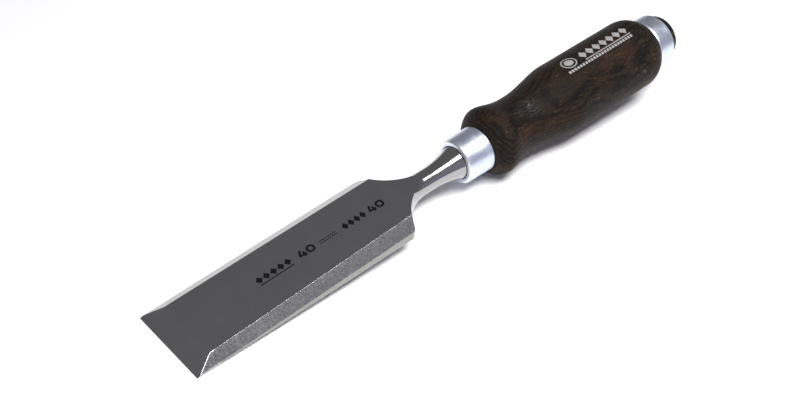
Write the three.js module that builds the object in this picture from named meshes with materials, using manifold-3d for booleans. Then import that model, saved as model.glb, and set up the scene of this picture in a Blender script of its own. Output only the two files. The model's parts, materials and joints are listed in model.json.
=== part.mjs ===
// Bevel-edge bench chisel with a turned wooden handle, 40 mm wide.
//
// Millimetres, +Z up. Each piece is drawn in the tool's own frame: x runs from the cutting edge to the
// striking end, the flat back of the blade is the plane z = 0, and the turned pieces share one axis
// that is parallel to x. The whole tool is then laid down as it lies on a bench, resting on its cutting
// edge and on the front bead of the handle, with the middle of its footprint at the origin.

import * as THREE from 'three';
import { mergeVertices } from 'three/addons/utils/BufferGeometryUtils.js';
import Module from 'manifold-3d';

const wasm = await Module();
wasm.setup();

// ---------------------------------------------------------------- driving dimensions

const AXIS_HEIGHT = 4.4;             // turning axis above the flat back
const FIT_GAP = 0.15;                // radial gap between the handle and its metal rings
const FACE_GAP = 0.3;                // gap where two pieces meet end to end

const BLADE_WIDTH = 40;
const BLANK_START = -1;              // the blank starts just in front of the cutting edge
const TOP_HEIGHT_AT_EDGE = 3.85;     // top face above the back, drawn on to the cutting edge
const TOP_RISE = 0.0392;             // how fast the top face climbs towards the shoulder
const LAND_HEIGHT_AT_EDGE = 0.6;     // square side of the blade below its side bevel, at the edge
const LAND_RISE = 0.0317;
const SIDE_BEVEL_ANGLE = THREE.MathUtils.degToRad(36.5);
const END_BEVEL_ANGLE = THREE.MathUtils.degToRad(23.7);
const TOP_FACE_END = 134.5;          // where the top face starts to run out over the neck
const TOP_RUN_OUT_RADIUS = 4;
const BACK_FACE_END = 140;           // where the ground back runs out under the neck
const BACK_RUN_OUT_RADIUS = 20;

const NECK_RADIUS = 5.4;
const SHOULDER_RADIUS = 22;          // hollow curve from the blade's sides down to the neck
const SHOULDER_CORNER = 1.5;
const NECK_START = 137.5;
const NECK_END = 143;
const FLARE_RADIUS = 47;             // hollow curve from the neck up to the bolster

const FERRULE_FRONT = 159.3;
const FERRULE_REAR = 174.5;
const FERRULE_FRONT_RADIUS = 10.9;
const FERRULE_REAR_RADIUS = 11.35;
const FERRULE_WALL = 1.2;
const FERRULE_OPENING = 8.45;
const FERRULE_EDGE = 1.2;            // rounding of the ferrule's front edge
const BOLSTER_CLEARANCE = 0.3;

const TANG_ROOT = 7.2;               // side of the square tang where it leaves the bolster
const TANG_TIP = 4;
const TANG_LENGTH = 76;
const TANG_SUNK = 1;                 // length of the root that lies inside the bolster
const TANG_CLEARANCE = 0.25;
const TANG_HOLE_SPARE = 3;

const HANDLE_SHOULDER = 12.4;        // radius of the handle where it leaves the ferrule
const BEAD_AT = 182.5;               // fattest point of the front bead, and the point it rests on
const BEAD_RADIUS = 17.2;
const WAIST_AT = 200.5;
const WAIST_RADIUS = 14.5;
const GRIP_AT = 229;
const GRIP_RADIUS = 18.2;
const GRIP_END = 281.5;
const HANDLE_REAR = 291.2;
const HANDLE_REAR_RADIUS = 14.2;

// how far each curve of the handle's outline keeps its end direction before it turns
const SHOULDER_REACH = 2.2;
const SHOULDER_SWELL = 1.8;
const BEAD_FRONT_REACH = 3;
const BEAD_REAR_REACH = 4;
const WAIST_FRONT_REACH = 10;
const WAIST_REAR_REACH = 12;
const GRIP_FRONT_REACH = 7;
const GRIP_REAR_REACH = 4;
const END_REACH = 2.6;
const END_DROP = 1.6;

const HOOP_REAR = 302.4;
const HOOP_FRONT_RADIUS = 13.5;
const HOOP_REAR_RADIUS = 13.3;
const HOOP_BORE = 11.8;
const HOOP_FRONT_EDGE = 1.6;
const HOOP_REAR_EDGE = 0.6;
const BUTT_LENGTH = 7.2;             // how far the end of the wood stands out of the hoop
const BUTT_EDGE = 5;                 // rounding of that end
const BUTT_CROWN = 0.6;              // how much its face is domed

const TURNED_SEGMENTS = 40;
const BLADE_SEGMENTS = 48;
const CURVE_STEPS = 8;
const CUTTER_SIZE = 400;             // larger than the tool, so a cut goes right through
const WELD_DISTANCE = 1e-4;

const STEEL = { color: 0x6f7174, roughness: 0.35, metalness: 1 };
const ZINC = { color: 0xc9ccd6, roughness: 0.35, metalness: 1 };
const DARK_WOOD = { color: 0x2b2522, roughness: 0.5, metalness: 0 };

// ---------------------------------------------------------------- worked out from them

const HALF_WIDTH = BLADE_WIDTH / 2;
const SIDE_BEVEL_SLOPE = Math.tan(SIDE_BEVEL_ANGLE);
const SHOULDER_CENTRE_RADIUS = NECK_RADIUS + SHOULDER_RADIUS;
const BOLSTER_RADIUS = FERRULE_OPENING - BOLSTER_CLEARANCE;
const BOLSTER_REAR = FERRULE_FRONT + FERRULE_WALL;
const TENON_FRONT = BOLSTER_REAR + FACE_GAP;
const FERRULE_TAPER = (FERRULE_REAR_RADIUS - FERRULE_FRONT_RADIUS) / (FERRULE_REAR - FERRULE_FRONT);
const HOOP_FRONT = HANDLE_REAR + FACE_GAP;

/** Height of the blade's top face above its back, at a distance from the cutting edge. */
function topHeight(x) {
  return TOP_HEIGHT_AT_EDGE + TOP_RISE * x;
}

/** Outer radius of the tapered ferrule at a place along the tool. */
function ferruleRadius(x) {
  return FERRULE_FRONT_RADIUS + FERRULE_TAPER * (x - FERRULE_FRONT);
}

// ---------------------------------------------------------------- making solids

/** A closed geometry as a solid that can be cut and joined. */
function solid(geometry) {
  const bare = geometry.clone();
  bare.deleteAttribute('normal');
  bare.deleteAttribute('uv');
  const merged = mergeVertices(bare, WELD_DISTANCE);
  return new wasm.Manifold(new wasm.Mesh({
    numProp: 3,
    vertProperties: new Float32Array(merged.attributes.position.array),
    triVerts: new Uint32Array(merged.index.array),
  }));
}

/** The finished solid back as a geometry. */
function geometryOf(body) {
  const mesh = body.getMesh();
  const geometry = new THREE.BufferGeometry();
  geometry.setAttribute('position', new THREE.BufferAttribute(mesh.vertProperties, 3));
  geometry.setIndex(new THREE.BufferAttribute(mesh.triVerts, 1));
  geometry.computeVertexNormals();
  return geometry;
}

/** A piece turned about the tool's axis, from an outline of (place along the tool, radius) points. */
function turned(outline, segments) {
  const profile = outline.map((point) => new THREE.Vector2(point.y, point.x));
  const geometry = new THREE.LatheGeometry(profile, segments);
  geometry.rotateZ(-Math.PI / 2);
  geometry.translate(0, 0, AXIS_HEIGHT);
  return geometry;
}

/** A side view, drawn in x and z, pulled right across the tool. */
function acrossTool(sideView) {
  const geometry = new THREE.ExtrudeGeometry(sideView, {
    depth: CUTTER_SIZE,
    bevelEnabled: false,
    curveSegments: CURVE_STEPS,
  });
  geometry.rotateX(Math.PI / 2);
  geometry.translate(0, CUTTER_SIZE / 2, 0);
  return geometry;
}

/** Everything on the outer side of a plane through a point, as a block. */
function blockAbove(point, normal) {
  const geometry = new THREE.BoxGeometry(CUTTER_SIZE, CUTTER_SIZE, CUTTER_SIZE);
  geometry.translate(0, 0, CUTTER_SIZE / 2);
  const turn = new THREE.Quaternion().setFromUnitVectors(new THREE.Vector3(0, 0, 1), normal);
  geometry.applyQuaternion(turn);
  geometry.translate(point.x, point.y, point.z);
  return geometry;
}

// ---------------------------------------------------------------- blade

/** Turned outline of the forging: blade blank, hollow shoulder, neck, flare and bolster. */
function forgingOutline() {
  const blankRadius = SHOULDER_CENTRE_RADIUS - SHOULDER_CORNER;
  const shoulderStart = Math.PI + Math.asin(SHOULDER_CORNER / SHOULDER_RADIUS);
  const flareTurn = Math.acos(1 - (BOLSTER_RADIUS - NECK_RADIUS) / FLARE_RADIUS);
  const path = new THREE.Path();
  path.moveTo(BLANK_START, 0);
  path.lineTo(BLANK_START, blankRadius);
  path.absarc(NECK_START, SHOULDER_CENTRE_RADIUS, SHOULDER_RADIUS, shoulderStart, 1.5 * Math.PI, false);
  path.absarc(NECK_END, NECK_RADIUS + FLARE_RADIUS, FLARE_RADIUS,
    1.5 * Math.PI, 1.5 * Math.PI + flareTurn, false);
  path.lineTo(BOLSTER_REAR, BOLSTER_RADIUS);
  path.lineTo(BOLSTER_REAR, 0);
  return path.getPoints(2 * CURVE_STEPS);
}

/** Plan view of the blade: parallel sides that end in a slightly rounded corner at the shoulder. */
function bladePlan() {
  const rise = SHOULDER_CENTRE_RADIUS - HALF_WIDTH;
  const cornerX = NECK_START - Math.sqrt(SHOULDER_RADIUS ** 2 - rise ** 2);
  const inner = HALF_WIDTH - SHOULDER_CORNER;
  const innerX = NECK_START - Math.sqrt(SHOULDER_RADIUS ** 2 - (rise + SHOULDER_CORNER) ** 2);
  const plan = new THREE.Shape();
  plan.moveTo(BLANK_START, -HALF_WIDTH);
  plan.lineTo(cornerX - SHOULDER_CORNER, -HALF_WIDTH);
  plan.quadraticCurveTo(cornerX, -HALF_WIDTH, innerX, -inner);
  plan.lineTo(CUTTER_SIZE, -inner);
  plan.lineTo(CUTTER_SIZE, inner);
  plan.lineTo(innerX, inner);
  plan.quadraticCurveTo(cornerX, HALF_WIDTH, cornerX - SHOULDER_CORNER, HALF_WIDTH);
  plan.lineTo(BLANK_START, HALF_WIDTH);
  const geometry = new THREE.ExtrudeGeometry(plan, {
    depth: CUTTER_SIZE,
    bevelEnabled: false,
    curveSegments: CURVE_STEPS,
  });
  geometry.translate(0, 0, -CUTTER_SIZE / 2);
  return geometry;
}

/** Metal that is ground away above the top face, with its run-out over the neck. */
function topCut() {
  const end = topHeight(TOP_FACE_END);
  const view = new THREE.Shape();
  view.moveTo(-CUTTER_SIZE, topHeight(-CUTTER_SIZE));
  view.lineTo(TOP_FACE_END, end);
  view.absarc(TOP_FACE_END, end + TOP_RUN_OUT_RADIUS, TOP_RUN_OUT_RADIUS, -Math.PI / 2, 0, false);
  view.lineTo(TOP_FACE_END + TOP_RUN_OUT_RADIUS, CUTTER_SIZE);
  view.lineTo(-CUTTER_SIZE, CUTTER_SIZE);
  return acrossTool(view);
}

/** Metal that is ground away below the flat back, with its run-out under the neck. */
function backCut() {
  const view = new THREE.Shape();
  view.moveTo(-CUTTER_SIZE, 0);
  view.lineTo(-CUTTER_SIZE, -CUTTER_SIZE);
  view.lineTo(BACK_FACE_END + BACK_RUN_OUT_RADIUS, -CUTTER_SIZE);
  view.lineTo(BACK_FACE_END + BACK_RUN_OUT_RADIUS, -BACK_RUN_OUT_RADIUS);
  view.absarc(BACK_FACE_END, -BACK_RUN_OUT_RADIUS, BACK_RUN_OUT_RADIUS, 0, Math.PI / 2, false);
  return acrossTool(view);
}

/** Metal that is ground away over one side bevel; side is 1 or -1. */
function sideBevelCut(side) {
  const corner = new THREE.Vector3(0, side * HALF_WIDTH, LAND_HEIGHT_AT_EDGE);
  const normal = new THREE.Vector3(-LAND_RISE, side * SIDE_BEVEL_SLOPE, 1).normalize();
  return blockAbove(corner, normal);
}

/** Metal that is ground away over the bevel behind the cutting edge. */
function endBevelCut() {
  const normal = new THREE.Vector3(-Math.sin(END_BEVEL_ANGLE), 0, Math.cos(END_BEVEL_ANGLE));
  return blockAbove(new THREE.Vector3(0, 0, 0), normal);
}

/** Square tapered spike from the bolster into the handle, made larger by a clearance for its hole. */
function tang(clearance, spare) {
  const length = TANG_LENGTH + spare;
  const rootHalf = TANG_ROOT / 2 + clearance;
  const tipHalf = TANG_TIP / 2 + clearance;
  const geometry = new THREE.CylinderGeometry(tipHalf * Math.SQRT2, rootHalf * Math.SQRT2, length, 4, 1);
  geometry.rotateY(Math.PI / 4);
  geometry.rotateZ(-Math.PI / 2);
  geometry.translate(BOLSTER_REAR - TANG_SUNK + length / 2, 0, AXIS_HEIGHT);
  return geometry;
}

/** The blade: one forging with its shoulder, neck, bolster and tang. */
function blade() {
  const body = solid(turned(forgingOutline(), BLADE_SEGMENTS))
    .intersect(solid(bladePlan()))
    .subtract(solid(topCut()))
    .subtract(solid(backCut()))
    .subtract(solid(sideBevelCut(1)))
    .subtract(solid(sideBevelCut(-1)))
    .subtract(solid(endBevelCut()))
    .add(solid(tang(0, 0)));
  return geometryOf(body);
}

// ---------------------------------------------------------------- ferrule, handle and hoop

/** The ferrule: a tapered tube whose front lip is turned in around the bolster. */
function ferrule() {
  const rimRadius = FERRULE_FRONT_RADIUS - FERRULE_EDGE;
  const path = new THREE.Path();
  path.moveTo(FERRULE_FRONT, FERRULE_OPENING);
  path.lineTo(FERRULE_FRONT, rimRadius);
  path.absarc(FERRULE_FRONT + FERRULE_EDGE, rimRadius, FERRULE_EDGE, Math.PI, Math.PI / 2, true);
  path.lineTo(FERRULE_REAR, FERRULE_REAR_RADIUS);
  path.lineTo(FERRULE_REAR, FERRULE_REAR_RADIUS - FERRULE_WALL);
  path.lineTo(BOLSTER_REAR, ferruleRadius(BOLSTER_REAR) - FERRULE_WALL);
  path.lineTo(BOLSTER_REAR, FERRULE_OPENING);
  path.lineTo(FERRULE_FRONT, FERRULE_OPENING);
  return turned(path.getPoints(CURVE_STEPS / 2), TURNED_SEGMENTS);
}

/** Turned outline of the handle, from the tenon in the ferrule to the domed striking end. */
function handleOutline() {
  const shoulder = FERRULE_REAR + FACE_GAP;
  const tenonInset = FERRULE_WALL + FIT_GAP;
  const hoopTenon = HOOP_BORE - FIT_GAP;
  const butt = HOOP_REAR + BUTT_LENGTH;
  const path = new THREE.Path();
  path.moveTo(TENON_FRONT, 0);
  path.lineTo(TENON_FRONT, ferruleRadius(TENON_FRONT) - tenonInset);
  path.lineTo(shoulder, FERRULE_REAR_RADIUS - tenonInset);
  path.lineTo(shoulder, HANDLE_SHOULDER);
  path.bezierCurveTo(shoulder + SHOULDER_REACH, HANDLE_SHOULDER + SHOULDER_SWELL,
    BEAD_AT - BEAD_FRONT_REACH, BEAD_RADIUS, BEAD_AT, BEAD_RADIUS);
  path.bezierCurveTo(BEAD_AT + BEAD_REAR_REACH, BEAD_RADIUS,
    WAIST_AT - WAIST_FRONT_REACH, WAIST_RADIUS, WAIST_AT, WAIST_RADIUS);
  path.bezierCurveTo(WAIST_AT + WAIST_REAR_REACH, WAIST_RADIUS,
    GRIP_AT - GRIP_FRONT_REACH, GRIP_RADIUS, GRIP_AT, GRIP_RADIUS);
  path.lineTo(GRIP_END, GRIP_RADIUS);
  path.bezierCurveTo(GRIP_END + GRIP_REAR_REACH, GRIP_RADIUS,
    HANDLE_REAR - END_REACH, GRIP_RADIUS - END_DROP, HANDLE_REAR, HANDLE_REAR_RADIUS);
  path.lineTo(HANDLE_REAR, hoopTenon);
  path.absarc(butt - BUTT_CROWN - BUTT_EDGE, hoopTenon - BUTT_EDGE, BUTT_EDGE, Math.PI / 2, 0, true);
  path.quadraticCurveTo(butt, (hoopTenon - BUTT_EDGE) / 2, butt, 0);
  return path.getPoints(CURVE_STEPS);
}

/** The handle: turned wood with the tapered hole that the tang is driven into. */
function handle() {
  const body = solid(turned(handleOutline(), TURNED_SEGMENTS));
  return geometryOf(body.subtract(solid(tang(TANG_CLEARANCE, TANG_HOLE_SPARE))));
}

/** The striking hoop: a ring with rounded edges on the rear tenon of the handle. */
function hoop() {
  const path = new THREE.Path();
  path.moveTo(HOOP_FRONT, HOOP_BORE);
  path.lineTo(HOOP_FRONT, HOOP_FRONT_RADIUS - HOOP_FRONT_EDGE);
  path.absarc(HOOP_FRONT + HOOP_FRONT_EDGE, HOOP_FRONT_RADIUS - HOOP_FRONT_EDGE, HOOP_FRONT_EDGE,
    Math.PI, Math.PI / 2, true);
  path.lineTo(HOOP_REAR - HOOP_REAR_EDGE, HOOP_REAR_RADIUS);
  path.absarc(HOOP_REAR - HOOP_REAR_EDGE, HOOP_REAR_RADIUS - HOOP_REAR_EDGE, HOOP_REAR_EDGE,
    Math.PI / 2, 0, true);
  path.lineTo(HOOP_REAR, HOOP_BORE);
  path.lineTo(HOOP_FRONT, HOOP_BORE);
  return turned(path.getPoints(CURVE_STEPS / 2), TURNED_SEGMENTS);
}

// ---------------------------------------------------------------- assembly

/** A named piece with its own material. */
function piece(name, geometry, finish) {
  const mesh = new THREE.Mesh(geometry, new THREE.MeshStandardMaterial(finish));
  mesh.name = name;
  return mesh;
}

/** The tool lies on its cutting edge and on the lowest point of the handle seen from that edge. */
function restTilt() {
  const angles = handleOutline()
    .map((point) => Math.atan2(point.y - AXIS_HEIGHT, point.x));
  return Math.max(...angles);
}

const tool = new THREE.Group();
tool.add(piece('blade', blade(), STEEL));
tool.add(piece('ferrule', ferrule(), ZINC));
tool.add(piece('handle', handle(), DARK_WOOD));
tool.add(piece('hoop', hoop(), ZINC));
tool.rotation.y = -restTilt();

const chisel = new THREE.Group();
chisel.add(tool);
const box = new THREE.Box3().setFromObject(chisel, true);
tool.position.set(-(box.min.x + box.max.x) / 2, 0, -box.min.z);

export default chisel;
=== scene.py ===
"""Bevel-edge bench chisel, 40 mm wide, lying on a pale floor.

Sizes are in millimetres in the tool's own frame: x runs from the cutting edge to the striking end,
the flat back of the blade is z = 0 and the turned pieces share one axis parallel to x. Each mesh is
built in that frame and then turned, in metres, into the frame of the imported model, so every object
stays at the origin. The finishes turn their coordinates back into the tool's own frame, so grain
and grinding lines follow the tool.
"""

import json
import logging
import math
from collections.abc import Callable, Sequence
from dataclasses import dataclass
from enum import Enum

import bmesh
import bpy
from mathutils import Matrix, Vector

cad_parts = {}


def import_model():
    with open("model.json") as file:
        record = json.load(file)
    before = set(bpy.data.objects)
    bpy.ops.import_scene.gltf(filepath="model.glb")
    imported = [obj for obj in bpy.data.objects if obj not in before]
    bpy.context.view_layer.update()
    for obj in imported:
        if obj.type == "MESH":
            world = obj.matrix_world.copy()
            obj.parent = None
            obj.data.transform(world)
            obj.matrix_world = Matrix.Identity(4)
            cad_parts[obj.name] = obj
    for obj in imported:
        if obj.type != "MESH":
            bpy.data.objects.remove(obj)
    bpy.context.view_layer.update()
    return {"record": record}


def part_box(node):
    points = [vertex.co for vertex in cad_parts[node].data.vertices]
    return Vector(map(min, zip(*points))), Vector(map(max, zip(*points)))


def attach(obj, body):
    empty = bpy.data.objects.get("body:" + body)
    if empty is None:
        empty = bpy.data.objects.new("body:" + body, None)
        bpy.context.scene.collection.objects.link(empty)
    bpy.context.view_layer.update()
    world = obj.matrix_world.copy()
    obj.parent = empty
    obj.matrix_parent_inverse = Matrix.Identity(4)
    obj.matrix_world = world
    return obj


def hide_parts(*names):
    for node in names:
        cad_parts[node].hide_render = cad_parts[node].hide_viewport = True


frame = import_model()

LOG = logging.getLogger("chisel")
MM = 0.001  # metres
PER_METRE = 1000.0  # millimetres
AXIS_HEIGHT = 4.4  # of the turned pieces above the flat back, in mm
BISECTIONS = 40
Colour = tuple[float, float, float]
Point = tuple[float, float]
Graded = tuple[Point, float]  # a point and its edge value


# ---------------------------------------------------------------- names that are chosen from


class Body(Enum):
    """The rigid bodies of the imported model."""

    ROOT = "root"


class Slot(Enum):
    """The record's material slots."""

    BLADE = "blade_steel"
    RINGS = "ring_steel"
    HANDLE = "handle_wood"


class Zone(Enum):
    """The differently finished faces of the blade, in the order of its material slots."""

    TOP = 0
    END_BEVEL = 1
    SIDE_BEVEL = 2
    LAND = 3
    BACK = 4
    NECK = 5


class WoodZone(Enum):
    """The two finishes of the handle."""

    GRIP = 0
    END = 1


# ---------------------------------------------------------------- node trees

MIX_INPUTS = (0, 6, 7)  # a Mix node's share and its two colours
MIX_COLOUR = 2  # its output for colours
FLOAT = "NodeSocketFloat"
VECTOR = "NodeSocketVector"


class NodeSheet:
    """A node tree being filled, with short ways to place nodes and join them."""

    def __init__(self, tree: bpy.types.NodeTree) -> None:
        """Starts on a tree, which is emptied."""
        self.tree = tree
        tree.nodes.clear()

    def place(self, kind: str, **settings: object) -> bpy.types.Node:
        """Adds one node.

        Args:
            kind: The node's Blender type without its ShaderNode prefix, or a Node type in full.
            settings: Attributes of the node to set.

        Returns:
            The new node.
        """
        full = kind if kind.startswith("Node") else "ShaderNode" + kind
        node = self.tree.nodes.new(full)
        for name, value in settings.items():
            setattr(node, name, value)
        return node

    def feed(self, socket: bpy.types.NodeSocket, value: object) -> None:
        """Joins an output to a socket, or sets the socket to a plain value.

        Args:
            socket: The input that is fed.
            value: An output socket, a number, or a tuple of numbers.
        """
        if isinstance(value, bpy.types.NodeSocket):
            self.tree.links.new(value, socket)
        elif isinstance(value, tuple) and len(value) == 3 and socket.type == "RGBA":
            socket.default_value = (*value, 1.0)
        else:
            socket.default_value = value

    def maths(self, operation: str, *values: object, clamp: bool = False) -> bpy.types.NodeSocket:
        """One Math node.

        Args:
            operation: Its operation.
            values: Its inputs in order.
            clamp: Whether the result is kept between 0 and 1.

        Returns:
            The node's output.
        """
        node = self.place("Math", operation=operation, use_clamp=clamp)
        for socket, value in zip(node.inputs, values):
            self.feed(socket, value)
        return node.outputs[0]

    def vector(self, operation: str, *values: object) -> bpy.types.NodeSocket:
        """One Vector Math node.

        Args:
            operation: Its operation.
            values: Its inputs in order.

        Returns:
            The node's vector output.
        """
        node = self.place("VectorMath", operation=operation)
        for socket, value in zip(node.inputs, values):
            self.feed(socket, value)
        return node.outputs["Vector"]

    def plus(self, base: object, value: object, factor: float) -> bpy.types.NodeSocket:
        """A value with a share of another one added.

        Args:
            base: The first value.
            value: The second value.
            factor: How much of the second one is added.

        Returns:
            The sum.
        """
        return self.maths("ADD", base, self.maths("MULTIPLY", value, factor))

    def span(self, value: object, low: float, high: float) -> bpy.types.NodeSocket:
        """A value mapped from a range to 0 to 1 with a soft start and end.

        Args:
            value: The value.
            low: Where the result is 0.
            high: Where the result is 1.

        Returns:
            The mapped value.
        """
        node = self.place("MapRange", interpolation_type="SMOOTHSTEP")
        for socket, number in zip(node.inputs, (value, low, high)):
            self.feed(socket, number)
        return node.outputs[0]

    def noise(self, place: object, scale: object, detail: float = 3.0, rough: float = 0.5,
              warp: float = 0.0) -> bpy.types.NodeSocket:
        """One noise texture.

        Args:
            place: The coordinates.
            scale: Features per unit of them.
            detail: Octaves.
            rough: Share of each next octave.
            warp: Distortion.

        Returns:
            Its value.
        """
        node = self.place("TexNoise")
        self.feed(node.inputs["Vector"], place)
        settings = (("Scale", scale), ("Detail", detail), ("Roughness", rough), ("Distortion", warp))
        for name, number in settings:
            self.feed(node.inputs[name], number)
        return node.outputs["Fac"]

    def stretched(self, place: object, stretch: tuple[float, float, float], detail: float,
                  rough: float, warp: float = 0.0) -> bpy.types.NodeSocket:
        """A noise texture on coordinates with a scale of their own along each axis.

        Args:
            place: The coordinates.
            stretch: Features per unit along each axis.
            detail: Octaves.
            rough: Share of each next octave.
            warp: Distortion.

        Returns:
            Its value.
        """
        return self.noise(self.vector("MULTIPLY", place, stretch), 1.0, detail, rough, warp)

    def tint(self, share: object, first: object, second: object) -> bpy.types.NodeSocket:
        """Two colours mixed.

        Args:
            share: How much of the second one.
            first: The first colour.
            second: The second colour.

        Returns:
            The mixed colour.
        """
        node = self.place("Mix", data_type="RGBA")
        for socket, value in zip(MIX_INPUTS, (share, first, second)):
            self.feed(node.inputs[socket], value)
        return node.outputs[MIX_COLOUR]

    def use(self, group: bpy.types.NodeTree, **values: object) -> bpy.types.Node:
        """Places a node group.

        Args:
            group: The group.
            values: Its inputs by name, with spaces written as underscores.

        Returns:
            The group node.
        """
        node = self.place("Group", node_tree=group)
        for name, value in values.items():
            self.feed(node.inputs[name.replace("_", " ")], value)
        return node


@dataclass(frozen=True)
class GroupPlan:
    """Names and kinds of a node group's sockets.

    Inputs are (name, socket type, default) rows, outputs are (name, socket type) rows.
    """

    name: str
    inputs: tuple[tuple[str, str, object], ...]
    outputs: tuple[tuple[str, str], ...]

    def make(self) -> tuple[bpy.types.NodeTree, NodeSheet, bpy.types.Node, bpy.types.Node]:
        """Makes the group with its sockets.

        Returns:
            The group, a sheet on it, its input node and its output node.
        """
        group = bpy.data.node_groups.new(self.name, "ShaderNodeTree")
        sheet = NodeSheet(group)
        for name, kind, value in self.inputs:
            socket = group.interface.new_socket(name=name, in_out="INPUT", socket_type=kind)
            if value is not None:
                socket.default_value = value
        for name, kind in self.outputs:
            group.interface.new_socket(name=name, in_out="OUTPUT", socket_type=kind)
        return group, sheet, sheet.place("NodeGroupInput"), sheet.place("NodeGroupOutput")


class Effects:
    """The effects that several finishes share, each a node group that is built once."""

    def __init__(self, lay: "Lay") -> None:
        """Builds every group.

        Args:
            lay: How the tool lies, for coordinates that follow it.
        """
        self.lay = lay
        self.grinding = self._grinding()
        self.mottle = self._mottle()
        self.edge_wear = self._edge_wear()
        self.handling = self._handling()

    @staticmethod
    def _grinding() -> bpy.types.NodeTree:
        """Parallel lines that a grinding wheel or belt leaves.

        Returns:
            The group, with outputs Height and Streak.
        """
        plan = GroupPlan(
            "grinding_lines",
            (("Place", VECTOR, None), ("Stretch", VECTOR, (1.0, 1.0, 1.0)), ("Fine", FLOAT, 6.0)),
            (("Height", FLOAT), ("Streak", FLOAT)),
        )
        group, sheet, given, result = plan.make()
        lines = sheet.vector("MULTIPLY", given.outputs["Place"], given.outputs["Stretch"])
        fine = sheet.noise(lines, given.outputs["Fine"], 4.0, 0.65)
        broad = sheet.noise(lines, 0.8, 2.0, 0.5)
        sheet.feed(result.inputs["Height"], sheet.plus(sheet.maths("MULTIPLY", fine, 0.7), broad, 0.3))
        sheet.feed(result.inputs["Streak"], sheet.span(fine, 0.58, 0.74))
        return group

    @staticmethod
    def _mottle() -> bpy.types.NodeTree:
        """Soft clouding over a surface, about 0.5 on average.

        Returns:
            The group, with output Cloud.
        """
        plan = GroupPlan(
            "mottle",
            (("Place", VECTOR, None), ("Size", FLOAT, 4.0), ("Contrast", FLOAT, 1.0)),
            (("Cloud", FLOAT),),
        )
        group, sheet, given, result = plan.make()
        scaled = sheet.place("VectorMath", operation="SCALE")
        sheet.feed(scaled.inputs[0], given.outputs["Place"])
        sheet.feed(scaled.inputs["Scale"], sheet.maths("DIVIDE", 1.0, given.outputs["Size"]))
        cloud = sheet.noise(scaled.outputs[0], 1.0, 5.0, 0.6, 0.4)
        centred = sheet.maths("MULTIPLY", sheet.maths("SUBTRACT", cloud, 0.5), given.outputs["Contrast"])
        sheet.feed(result.inputs["Cloud"], sheet.maths("ADD", centred, 0.5, clamp=True))
        return group

    @staticmethod
    def _edge_wear() -> bpy.types.NodeTree:
        """Bright, broken line of bare or burred material along an edge.

        Returns:
            The group, with output Mask.
        """
        plan = GroupPlan(
            "edge_wear",
            (("Place", VECTOR, None), ("Edge", FLOAT, 0.0), ("Amount", FLOAT, 1.0),
             ("Breakup", FLOAT, 0.8)),
            (("Mask", FLOAT),),
        )
        group, sheet, given, result = plan.make()
        broken = sheet.noise(given.outputs["Place"], given.outputs["Breakup"], 4.0, 0.7)
        line = sheet.maths("MULTIPLY", given.outputs["Edge"], sheet.span(broken, 0.32, 0.62))
        mask = sheet.maths("MULTIPLY", line, given.outputs["Amount"])
        sheet.feed(result.inputs["Mask"], sheet.maths("MINIMUM", mask, 1.0))
        return group

    @staticmethod
    def _handling() -> bpy.types.NodeTree:
        """Finger marks and settled dust from ordinary handling.

        Returns:
            The group, with outputs Smear and Specks.
        """
        plan = GroupPlan(
            "handling",
            (("Place", VECTOR, None), ("Amount", FLOAT, 1.0)),
            (("Smear", FLOAT), ("Specks", FLOAT)),
        )
        group, sheet, given, result = plan.make()
        smear = sheet.span(sheet.noise(given.outputs["Place"], 0.07, 3.0, 0.55, 1.2), 0.5, 0.72)
        specks = sheet.span(sheet.noise(given.outputs["Place"], 2.6, 2.0, 0.6), 0.7, 0.78)
        for name, mask in (("Smear", smear), ("Specks", specks)):
            sheet.feed(result.inputs[name], sheet.maths("MULTIPLY", mask, given.outputs["Amount"]))
        return group


# ---------------------------------------------------------------- finishes


class Dresser:
    """A new material with its Principled shader and its coordinates in millimetres."""

    def __init__(self, name: str, effects: Effects) -> None:
        """Makes the material.

        Args:
            name: The material's name.
            effects: The shared node groups and how the tool lies.
        """
        self.material = bpy.data.materials.new(name)
        self.material.use_nodes = True
        self.sheet = NodeSheet(self.material.node_tree)
        output = self.sheet.place("OutputMaterial")
        self.shader = self.sheet.place("BsdfPrincipled")
        self.sheet.feed(output.inputs["Surface"], self.shader.outputs[0])
        where = self.sheet.place("TexCoord")
        start = (effects.lay.edge_x, 0.0, 0.0)
        turned = self.sheet.place("VectorRotate", rotation_type="Y_AXIS")
        self.sheet.feed(turned.inputs["Vector"], where.outputs["Object"])
        self.sheet.feed(turned.inputs["Center"], start)
        self.sheet.feed(turned.inputs["Angle"], effects.lay.tilt)
        moved = self.sheet.vector("SUBTRACT", turned.outputs[0], start)
        self.place = self.sheet.vector("MULTIPLY", moved, (PER_METRE,) * 3)

    def set(self, **values: object) -> None:
        """Feeds the shader's sockets, named with underscores for spaces.

        Args:
            values: Numbers, colours or outputs by socket.
        """
        for name, value in values.items():
            self.sheet.feed(self.shader.inputs[name.replace("_", " ")], value)

    def bump(self, height: object, depth_mm: float) -> None:
        """Gives the surface relief.

        Args:
            height: The relief, 0 to 1.
            depth_mm: What a height of 1 means.
        """
        node = self.sheet.place("Bump")
        self.sheet.feed(node.inputs["Strength"], 1.0)
        self.sheet.feed(node.inputs["Distance"], depth_mm * MM)
        self.sheet.feed(node.inputs["Height"], height)
        self.sheet.feed(self.shader.inputs["Normal"], node.outputs[0])

    def edge(self) -> bpy.types.NodeSocket:
        """The mesh's own edge value: 1 on a rounded edge, falling to 0 beside it."""
        return self.sheet.place("Attribute", attribute_name="edge").outputs["Fac"]


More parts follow.
